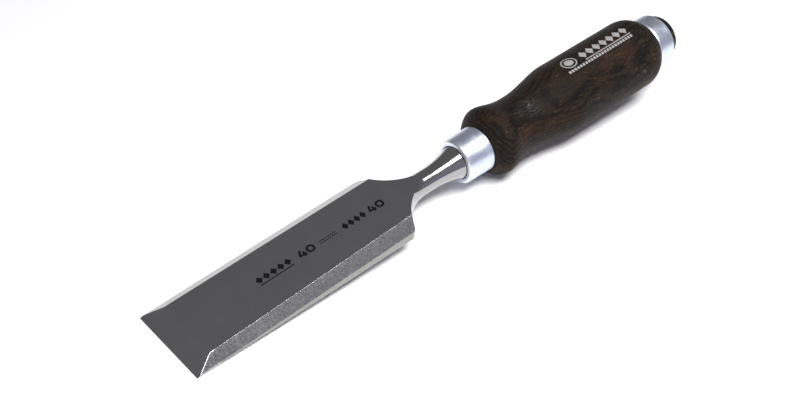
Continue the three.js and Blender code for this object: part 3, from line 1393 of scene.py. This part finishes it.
@dataclass
class Ferrule:
    """Tapered ring with a turned-in front lip, pressed on the front of the handle."""

    turning: Turning
    front: float = 159.3
    rear: float = 174.5
    front_radius: float = 10.9
    rear_radius: float = 11.35
    wall: float = 1.2
    opening: float = 8.45
    edge: float = 1.2
    lip_round: float = 0.3
    rear_edge: float = 0.35
    rear_face: float = 0.4
    rear_sunk: float = 0.01
    bolster_rear: float = 160.5

    def outline(self) -> list[Graded]:
        """Closed outline of the ring's wall, with edge values.

        Returns:
            Points as place along the tool and radius, each with its edge value.
        """
        rim = self.front_radius - self.edge
        rear = self.rear_radius - self.rear_sunk
        lip = self.opening + self.lip_round
        rows = graded(arc((self.front + self.lip_round, lip), self.lip_round, 270, 180, 6), 0.5)
        rows += graded(straight((self.front, lip), (self.front, rim), 5), 0.0)
        rows += graded(arc((self.front + self.edge, rim), self.edge, 180, 90, 18)[1:-2], 1.0)
        rows += graded(straight((self.front + self.edge, self.front_radius),
                                (self.rear - self.rear_face, rear), 30), 0.0)
        rows += graded(arc((self.rear - self.rear_edge, rear - self.rear_edge), self.rear_edge,
                           90, 0, 8)[1:], 1.0)
        inner = (self.rear, self.rear_radius - self.wall)
        seat = (self.bolster_rear, self.front_radius - self.wall)
        rows += graded(straight((self.rear, rear - self.rear_edge), inner, 2), 0.0)
        rows += graded(straight(inner, seat, 10), 0.0)
        rows += graded(straight(seat, (self.bolster_rear, self.opening), 3), 0.0)
        return rows

    def make(self) -> bpy.types.Mesh:
        """Builds the ring."""
        return self.turning.ring("ferrule_mesh", self.outline())


@dataclass
class Hoop:
    """Steel ring round the striking end of the handle."""

    turning: Turning
    front: float = 291.5
    rear: float = 302.4
    front_radius: float = 13.5
    rear_radius: float = 13.3
    bore: float = 11.8
    front_edge: float = 1.6
    rear_edge: float = 0.6

    def outline(self) -> list[Graded]:
        """Closed outline of the ring's wall, with edge values.

        Returns:
            Points as place along the tool and radius, each with its edge value.
        """
        rim = self.front_radius - self.front_edge
        rear_rim = self.rear_radius - self.rear_edge
        mouth, back = (self.front, self.bore), (self.rear, self.bore)
        rows = graded([mouth, *straight(mouth, (self.front, rim), 3)], 0.0)
        rows += graded(arc((self.front + self.front_edge, rim), self.front_edge, 180, 90, 18)[1:-2], 0.8)
        rows += graded(straight((self.front + self.front_edge, self.front_radius),
                                (self.rear - self.rear_edge, self.rear_radius), 24), 0.0)
        rows += graded(arc((self.rear - self.rear_edge, rear_rim), self.rear_edge, 90, 0, 12)[1:], 0.9)
        rows += graded(straight((self.rear, rear_rim), back, 2), 0.3)
        rows += graded(straight(back, mouth, 8)[:-1], 0.0)
        return rows

    def make(self) -> bpy.types.Mesh:
        """Builds the ring."""
        return self.turning.ring("hoop_mesh", self.outline())


@dataclass
class Handle:
    """Turned wooden handle with a front bead, a waist, a long grip and a tenon at each end."""

    turning: Turning
    tenon_front: float = 160.8
    tenon_front_radius: float = 9.58
    tenon_rear_radius: float = 10.0
    shoulder: float = 174.8
    shoulder_radius: float = 12.4
    bead_at: float = 182.5
    bead_radius: float = 17.2
    waist_at: float = 200.5
    waist_radius: float = 14.5
    grip_at: float = 229.0
    grip_radius: float = 18.2
    grip_end: float = 281.5
    rear: float = 291.2
    rear_radius: float = 14.2
    hoop_tenon: float = 11.65
    butt: float = 309.6
    butt_edge: float = 5.0
    butt_crown: float = 0.6
    bead_front_reach: float = 3.0
    bead_rear_reach: float = 4.0
    waist_front_reach: float = 10.0
    waist_rear_reach: float = 12.0
    grip_front_reach: float = 7.0
    grip_rear_reach: float = 4.0
    rear_lean: Point = (2.6, 1.6)
    shoulder_lean: Point = (2.2, 1.8)
    shoulder_edge: float = 0.3
    skin: float = 0.03
    hole_steps: int = 10
    crown_steps: int = 16
    hole_root: float = 3.82
    hole_tip: float = 2.25
    hole_end: float = 238.5

    def outline(self) -> list[Point]:
        """Outside of the handle, from the front tenon to the middle of the striking end.

        Returns:
            Points as place along the tool and radius.
        """
        bead, waist, grip = self.bead_radius, self.waist_radius, self.grip_radius
        points = [(self.tenon_front, self.tenon_front_radius)]
        points += straight(points[-1], (self.shoulder, self.tenon_rear_radius), 6)
        round_off = self.shoulder_edge
        points += straight(points[-1], (self.shoulder, self.shoulder_radius - round_off), 4)
        points += arc((self.shoulder + round_off, self.shoulder_radius - 0.28), round_off,
                      180, 125, 4)[1:]
        lean = (self.shoulder + self.shoulder_lean[0], self.shoulder_radius + self.shoulder_lean[1])
        points += cubic((self.shoulder, self.shoulder_radius), lean,
                        (self.bead_at - self.bead_front_reach, bead), (self.bead_at, bead), 44)[1:]
        points += cubic((self.bead_at, bead), (self.bead_at + self.bead_rear_reach, bead),
                        (self.waist_at - self.waist_front_reach, waist), (self.waist_at, waist), 44)
        points += cubic((self.waist_at, waist), (self.waist_at + self.waist_rear_reach, waist),
                        (self.grip_at - self.grip_front_reach, grip), (self.grip_at, grip), 60)
        points += straight((self.grip_at, grip), (self.grip_end, grip), 60)
        points += cubic((self.grip_end, grip), (self.grip_end + self.grip_rear_reach, grip),
                        (self.rear - self.rear_lean[0], grip - self.rear_lean[1]),
                        (self.rear, self.rear_radius), 44)
        points += straight((self.rear, self.rear_radius), (self.rear, self.hoop_tenon), 4)
        edge = (self.butt - self.butt_crown - self.butt_edge, self.hoop_tenon - self.butt_edge)
        points += straight((self.rear, self.hoop_tenon), (edge[0], self.hoop_tenon), 14)
        points += arc(edge, self.butt_edge, 90, 0, 20)[1:]
        flat = self.hoop_tenon - self.butt_edge
        for step in range(1, self.crown_steps):
            share = step / self.crown_steps
            points.append((self.butt - self.butt_crown * (1 - share) ** 2, flat * (1 - share)))
        return points

    def make(self) -> bpy.types.Mesh:
        """Builds the handle with the hole for the tang.

        Returns:
            The mesh.
        """
        outside = self.outline()
        steps = self.hole_steps
        loops = [self.turning.square(self.hole_end - (self.hole_end - self.tenon_front) * k / steps,
                                     self.hole_tip + (self.hole_root - self.hole_tip) * k / steps)
                 for k in range(steps + 1)]
        edges = [[0.0] * self.turning.segments for _ in loops]
        ends = [WoodZone.GRIP.value] * len(loops)
        for x, radius in outside:
            loops.append(self.turning.loop(x, max(radius - self.skin, 0.02)))
            edges.append([self._edge(x, radius)] * self.turning.segments)
            behind = x > self.rear - 0.01 and radius < self.rear_radius - 0.1
            ends.append((WoodZone.END if behind else WoodZone.GRIP).value)
        plan = MeshPlan(loops, edges, lambda station, place: ends[station])
        return plan.make("handle_mesh")

    def _edge(self, x: float, radius: float) -> float:
        """Edge value of the handle at a point of its outline.

        Args:
            x: Place along the tool.
            radius: Radius there.

        Returns:
            The value, 1 where the lacquer rubs off first.
        """
        rear = bead = 0.0
        if radius > self.hoop_tenon + 0.5:
            rear = math.exp(-abs(x - self.rear) / 0.5)
        if radius > self.tenon_rear_radius + 1:
            bead = 0.5 * math.exp(-abs(x - self.shoulder) / 0.4)
        return max(rear, bead)


# ---------------------------------------------------------------- marks

OVAL_POINTS = 40


@dataclass
class Mark:
    """Flat shapes, cut from thin sheet and laid on a surface."""

    shapes: list[list[Point]]
    thickness: float = 0.02
    step: float = 0.6

    def make(self, name: str, wrap: Callable[[float, float, float], Vector]) -> bpy.types.Mesh:
        """Builds the shapes as closed plates.

        Args:
            name: The mesh's name.
            wrap: Turns a place on the sheet and a height above it into a point of the tool, in mm.

        Returns:
            The mesh.
        """
        flat = self._cut_out(name + "_outline")
        work = bmesh.new()
        work.from_mesh(flat)
        bpy.data.meshes.remove(flat)
        bmesh.ops.remove_doubles(work, verts=work.verts, dist=1e-4)
        layer = work.verts.layers.float.new("edge")
        lows = min(vertex.co.y for vertex in work.verts)
        highs = max(vertex.co.y for vertex in work.verts)
        for number in range(1, int((highs - lows) / self.step) + 1):
            everything = [*work.verts, *work.edges, *work.faces]
            bmesh.ops.bisect_plane(work, geom=everything, dist=1e-5, plane_no=(0, 1, 0),
                                   plane_co=(0, lows + number * self.step, 0))
        extruded = bmesh.ops.extrude_face_region(work, geom=list(work.faces))
        lifted = {item for item in extruded["geom"] if isinstance(item, bmesh.types.BMVert)}
        for vertex in work.verts:
            height = self.thickness if vertex in lifted else -self.thickness
            vertex[layer] = 0.0
            vertex.co = wrap(vertex.co.x, vertex.co.y, height) * MM
        bmesh.ops.recalc_face_normals(work, faces=work.faces)
        mesh = bpy.data.meshes.new(name + "_mesh")
        work.to_mesh(mesh)
        work.free()
        return mesh

    def _cut_out(self, name: str) -> bpy.types.Mesh:
        """Cuts the shapes out of a flat sheet.

        Args:
            name: A name for the curve that they are cut with.

        Returns:
            The flat mesh.
        """
        curve = bpy.data.curves.new(name, "CURVE")
        curve.dimensions = "2D"
        curve.fill_mode = "BOTH"
        for shape in self.shapes:
            spline = curve.splines.new("POLY")
            spline.points.add(len(shape) - 1)
            for point, (u, v) in zip(spline.points, shape):
                point.co = (u, v, 0.0, 1.0)
            spline.use_cyclic_u = True
        carrier = bpy.data.objects.new(name, curve)
        bpy.context.scene.collection.objects.link(carrier)
        flat = bpy.data.meshes.new_from_object(carrier)
        bpy.data.objects.remove(carrier)
        bpy.data.curves.remove(curve)
        return flat


def box_shape(left: float, low: float, right: float, high: float, lean: float = 0.0) -> list[Point]:
    """A four-sided shape, leaning if asked.

    Args:
        left: Its left side at the bottom.
        low: Its bottom.
        right: Its right side at the bottom.
        high: Its top.
        lean: How far the top is moved along.

    Returns:
        Its corners.
    """
    return [(left, low), (right, low), (right + lean, high), (left + lean, high)]


def oval(centre: Point, wide: float, tall: float, power: float = 2.4) -> list[Point]:
    """A rounded shape between an ellipse and a rectangle.

    Args:
        centre: Its centre.
        wide: Half its width.
        tall: Half its height.
        power: How square it is.

    Returns:
        Its points.
    """
    points = []
    for step in range(OVAL_POINTS):
        turn = 2 * math.pi * step / OVAL_POINTS
        c, s = math.cos(turn), math.sin(turn)
        points.append((centre[0] + wide * math.copysign(abs(c) ** (2 / power), c),
                       centre[1] + tall * math.copysign(abs(s) ** (2 / power), s)))
    return points


def forty(left: float, low: float, height: float) -> list[list[Point]]:
    """The figures 4 and 0.

    Args:
        left: Where the 4 starts.
        low: The line that they stand on.
        height: How tall they are.

    Returns:
        Their outlines and openings.
    """
    h = height
    four = [(0.0, 0.2), (0.53, 0.2), (0.53, 0.0), (0.79, 0.0), (0.79, 0.2), (0.93, 0.2),
            (0.93, 0.42), (0.79, 0.42), (0.79, 0.68), (0.53, 0.68), (0.53, 0.42), (0.29, 0.42),
            (0.6, 1.0), (0.31, 1.0), (0.0, 0.4)]
    shapes = [[(left + u * h, low + v * h) for u, v in four]]
    centre = (left + 1.56 * h, low + 0.5 * h)
    shapes.append(oval(centre, 0.5 * h, 0.5 * h))
    shapes.append(oval(centre, 0.235 * h, 0.27 * h))
    return shapes


def lozenges(left: float, low: float, right: float, height: float, count: int) -> list[list[Point]]:
    """A row of lozenges that nearly touch.

    Args:
        left: Where the row starts.
        low: Its bottom.
        right: Where it ends.
        height: How tall it is.
        count: How many lozenges.

    Returns:
        Their outlines.
    """
    pitch = (right - left) / count
    middle = low + height / 2
    shapes = []
    for number in range(count):
        start = left + number * pitch
        shapes.append([(start + 0.04 * pitch, middle), (start + 0.5 * pitch, low),
                       (start + 0.96 * pitch, middle), (start + 0.5 * pitch, low + height)])
    return shapes


@dataclass
class BladeMarks:
    """Black etched marks on the top face: the width figure and plain carpenter's ornament."""

    blade: Blade

    def shapes(self) -> list[list[Point]]:
        """All outlines on the sheet, along the blade and across it."""
        shapes = lozenges(45.0, -1.3, 63.8, 3.9, 5)
        shapes.append(box_shape(45.6, -2.4, 63.2, -1.85))
        shapes += forty(67.4, -2.0, 4.2)
        for row, low in enumerate((0.15, -1.1)):
            for number in range(9):
                start = 78.6 + number * 1.05 + 0.2 * row
                shapes.append(box_shape(start, low, start + 0.62, low + 0.62, 0.12))
        shapes += lozenges(91.4, -2.2, 104.8, 4.2, 4)
        shapes += forty(106.4, -2.1, 4.2)
        return shapes

    def wrap(self, u: float, v: float, height: float) -> Vector:
        """A place on the sheet laid on the top face."""
        return Vector((u, v, self.blade.top_height + self.blade.top_rise * u + height))

    def make(self) -> bpy.types.Mesh:
        """Builds the marks."""
        return Mark(self.shapes(), step=50.0).make("blade_marks", self.wrap)


@dataclass
class HandleMarks:
    """Silver printed ornament along the grip."""

    handle: Handle

    def shapes(self) -> list[list[Point]]:
        """All outlines on the sheet, along the handle and round it."""
        shapes = [oval((235.6, 1.8), 4.6, 3.7, 2.0), oval((235.6, 1.8), 3.9, 3.1, 2.0)]
        shapes += [oval((235.6, 1.8), 2.7, 2.1, 2.0)]
        shapes += lozenges(243.0, -0.9, 277.4, 5.4, 7)
        shapes.append(box_shape(244.0, -2.1, 276.6, -1.55))
        for number in range(24):
            start = 230.4 + number * 1.93
            shapes.append(box_shape(start, -4.2, start + 1.3, -2.8, 0.2))
        return shapes

    def wrap(self, u: float, v: float, height: float) -> Vector:
        """Wraps a place on the sheet round the grip.

        Args:
            u: Place along the handle.
            v: Place round it.
            height: Height above the wood.

        Returns:
            The point of the tool.
        """
        radius = self.handle.grip_radius - self.handle.skin + height
        turn = v / self.handle.grip_radius
        axis = self.handle.turning.axis_height
        return Vector((u, radius * math.sin(turn), axis + radius * math.cos(turn)))

    def make(self) -> bpy.types.Mesh:
        """Builds the marks."""
        return Mark(self.shapes()).make("handle_marks", self.wrap)


# ---------------------------------------------------------------- studio


@dataclass(frozen=True)
class SoftLight:
    """One rectangular studio light, aimed at the tool."""

    name: str
    position: tuple[float, float, float]
    size: tuple[float, float]
    power: float
    colour: Colour = (1.0, 1.0, 1.0)

    def hang(self) -> None:
        """Makes the light."""
        lamp = bpy.data.lights.new(self.name, "AREA")
        lamp.shape = "RECTANGLE"
        lamp.size, lamp.size_y = self.size
        lamp.energy = self.power
        lamp.color = self.colour
        holder = bpy.data.objects.new(self.name, lamp)
        away = Vector(self.position).normalized()
        side = (Vector((1.0, 0.0, 0.0)) - away * away.x).normalized()
        up = away.cross(side)
        turn = Matrix((side, up, away)).transposed().to_4x4()
        holder.matrix_world = Matrix.Translation(Vector(self.position)) @ turn
        bpy.context.scene.collection.objects.link(holder)


@dataclass(frozen=True)
class Viewpoint:
    """The camera: where it stands, where it looks and its lens."""

    azimuth: float = 46.933
    elevation: float = 42.782
    roll: float = 6.827
    target_mm: tuple[float, float, float] = (-30.1, -0.78, 12.0)
    distance_mm: float = 558.96
    lens: float = 56.174
    sensor: float = 36.0

    def place(self) -> None:
        """Makes the camera and chooses it."""
        turn, rise, roll = (math.radians(a) for a in (self.azimuth, self.elevation, self.roll))
        forward = Vector((math.sin(turn) * math.cos(rise), math.cos(turn) * math.cos(rise),
                          -math.sin(rise)))
        level = Vector((math.cos(turn), -math.sin(turn), 0.0))
        raised = level.cross(forward)
        right = level * math.cos(roll) + raised * math.sin(roll)
        up = right.cross(forward)
        lens = bpy.data.cameras.new("camera")
        lens.lens = self.lens
        lens.sensor_width = self.sensor
        camera = bpy.data.objects.new("camera", lens)
        spot = (Vector(self.target_mm) - forward * self.distance_mm) * MM
        facing = Matrix((right, up, -forward)).transposed().to_4x4()
        camera.matrix_world = Matrix.Translation(spot) @ facing
        bpy.context.scene.collection.objects.link(camera)
        bpy.context.scene.camera = camera


@dataclass
class Studio:
    """Floor, lights, surroundings and camera."""

    floor_half: float = 3.0
    far_side: Colour = (0.205, 0.2, 0.21)
    near_side: Colour = (0.36, 0.345, 0.43)
    far_until: float = -0.4
    near_from: float = -0.85
    lights: tuple[SoftLight, ...] = (
        SoftLight("softbox", (0.02, -0.292, 0.85), (0.8, 0.3), 10.8),
    )

    def build(self, effects: Effects) -> None:
        """Sets up the studio.

        Args:
            effects: The shared node groups.
        """
        self._floor(effects)
        for light in self.lights:
            light.hang()
        world = bpy.data.worlds.new("surroundings")
        world.use_nodes = True
        sheet = NodeSheet(world.node_tree)
        output = sheet.place("OutputWorld")
        glow = sheet.place("Background")
        split = sheet.place("SeparateXYZ")
        sheet.feed(split.inputs[0], sheet.place("TexCoord").outputs["Generated"])
        nearness = sheet.span(split.outputs[1], self.far_until, self.near_from)
        sheet.feed(glow.inputs["Color"], sheet.tint(nearness, self.far_side, self.near_side))
        sheet.feed(output.inputs["Surface"], glow.outputs[0])
        bpy.context.scene.world = world
        bpy.context.scene.view_settings.view_transform = "Standard"
        Viewpoint().place()

    def _floor(self, effects: Effects) -> None:
        """Lays the floor.

        Args:
            effects: The shared node groups.
        """
        work = bmesh.new()
        reach = self.floor_half
        corners = [work.verts.new((x, y, 0.0)) for x, y in
                   ((-reach, -reach), (reach, -reach), (reach, reach), (-reach, reach))]
        work.faces.new(corners)
        mesh = bpy.data.meshes.new("floor_mesh")
        work.to_mesh(mesh)
        work.free()
        mesh.materials.append(PaleFloor().make(effects))
        floor = bpy.data.objects.new("floor", mesh)
        bpy.context.scene.collection.objects.link(floor)


# ---------------------------------------------------------------- putting it together

TOP_STEEL = GroundSteel(
    name="top_face_steel", tint=(0.40, 0.40, 0.41), roughness=0.2, roughness_spread=0.08,
    stretch=(0.12, 2.2, 2.2), fine=3.0, depth_mm=0.004, cloud_size=9.0, cloud_contrast=0.9,
    tint_spread=0.05, edge_amount=0.25)
END_STEEL = GroundSteel(
    name="end_bevel_steel", tint=(0.42, 0.42, 0.42), roughness=0.22, roughness_spread=0.1,
    stretch=(2.4, 0.1, 2.4), fine=2.6, depth_mm=0.006, cloud_size=6.0, cloud_contrast=1.0,
    tint_spread=0.06, edge_amount=0.6)
SIDE_STEEL = GroundSteel(
    name="side_bevel_steel", tint=(0.38, 0.38, 0.375), roughness=0.17, roughness_spread=0.1,
    stretch=(1.6, 0.8, 0.8), fine=1.7, depth_mm=0.01, cloud_size=0.8, cloud_contrast=1.6,
    tint_spread=0.2, edge_amount=0.7, sparkle=0.4)
LAND_STEEL = GroundSteel(
    name="land_steel", tint=(0.3, 0.31, 0.285), roughness=0.26, roughness_spread=0.12,
    stretch=(0.25, 1.5, 2.5), fine=2.0, depth_mm=0.01, cloud_size=2.5, cloud_contrast=1.4,
    tint_spread=0.1, edge_amount=0.8)
BACK_STEEL = GroundSteel(
    name="back_steel", tint=(0.43, 0.43, 0.44), roughness=0.16, roughness_spread=0.08,
    stretch=(2.6, 0.12, 1.0), fine=3.0, depth_mm=0.004, cloud_size=14.0, cloud_contrast=0.9,
    tint_spread=0.05, edge_amount=0.5)
NECK_STEEL = GroundSteel(
    name="neck_steel", tint=(0.40, 0.40, 0.395), roughness=0.11, roughness_spread=0.05,
    stretch=(0.6, 0.3, 0.3), fine=1.2, depth_mm=0.005, cloud_size=7.0, cloud_contrast=1.0,
    tint_spread=0.05, edge_amount=0.3)
ZINC = ZincPlate(name="zinc_plate", tint=(0.79, 0.89, 0.98), shade=(0.69, 0.73, 0.90), roughness=0.36)
WOOD = StainedWood(
    name="stained_wood", ground=(0.0075, 0.0066, 0.006), band=(0.019, 0.0135, 0.010),
    red=(0.034, 0.016, 0.0105), pore=(0.125, 0.088, 0.05), roughness=0.48,
    # painted highlights: pale patches on the waist where the softbox's highlight falls
    painted_highlights=(PaintedHighlight(along=203.0, turn=-22.0, reach=7.0, amount=0.9),
            PaintedHighlight(along=196.0, turn=-20.0, reach=4.0, amount=0.6)))
WOOD_END = StainedWood(
    name="stained_end_grain", ground=(0.007, 0.007, 0.0075), band=(0.011, 0.0105, 0.0105),
    red=(0.014, 0.011, 0.010), pore=(0.02, 0.019, 0.018), roughness=0.45)
ETCHED = Ink(name="etched_black", colour=(0.006, 0.006, 0.007), metallic=0.0, roughness=0.7,
             wear=0.3, gloss=0.08)
SILVER = Ink(name="silver_print", colour=(0.52, 0.51, 0.5), metallic=0.35, roughness=0.45, wear=0.3)


def main() -> None:
    """Builds the studio and the chisel, piece by piece."""
    logging.basicConfig(level=logging.INFO, format="%(name)s: %(message)s")
    lay = Lay()
    effects = Effects(lay)
    Studio().build(effects)
    turning = Turning()
    blade = Blade(turning)
    handle = Handle(turning)
    steels = [finish.make(effects) for finish in
              (TOP_STEEL, END_STEEL, SIDE_STEEL, LAND_STEEL, BACK_STEEL, NECK_STEEL)]
    even_shading(lay.lay("blade_forging", blade.make(), steels, Slot.BLADE, "blade"))
    zinc = ZINC.make(effects)
    even_shading(lay.lay("ferrule_ring", Ferrule(turning).make(), [zinc], Slot.RINGS, "ferrule"))
    even_shading(lay.lay("striking_hoop", Hoop(turning).make(), [zinc], Slot.RINGS, "hoop"))
    woods = [WOOD.make(effects), WOOD_END.make(effects)]
    even_shading(lay.lay("turned_handle", handle.make(), woods, Slot.HANDLE, "handle"))
    lay.lay("blade_marks", BladeMarks(blade).make(), [ETCHED.make(effects)], Slot.BLADE)
    lay.lay("handle_marks", HandleMarks(handle).make(), [SILVER.make(effects)], Slot.HANDLE)


if __name__ == "__main__":
    main()
